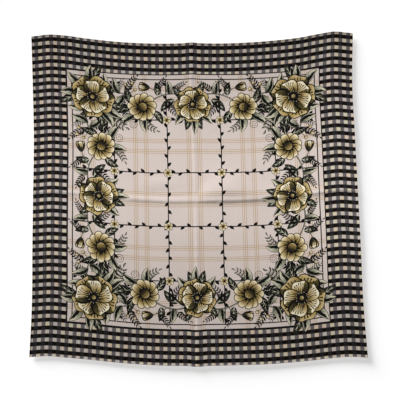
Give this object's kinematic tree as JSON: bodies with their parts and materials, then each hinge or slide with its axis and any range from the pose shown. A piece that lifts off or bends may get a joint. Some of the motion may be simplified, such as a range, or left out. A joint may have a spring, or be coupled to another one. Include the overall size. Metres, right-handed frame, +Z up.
{
  "type": "square scarf",
  "caption": "Square printed silk scarf with rolled hems, opened out and lying flat with soft fold creases, to wear round the neck or head.",
  "frame": {"origin": "on the surface that the scarf lies on, under the middle of its outline", "axes": "+Z up through the printed face, +Y towards the far edge, +X towards the right edge"},
  "size_m": [0.925, 0.9306, 0.0155],
  "materials": {
    "silk_twill": "printed silk twill with a soft satin sheen and a fine diagonal weave"
  },
  "bodies": {
    "root": {"scarf_cloth": "silk_twill"}
  },
  "joints": []
}
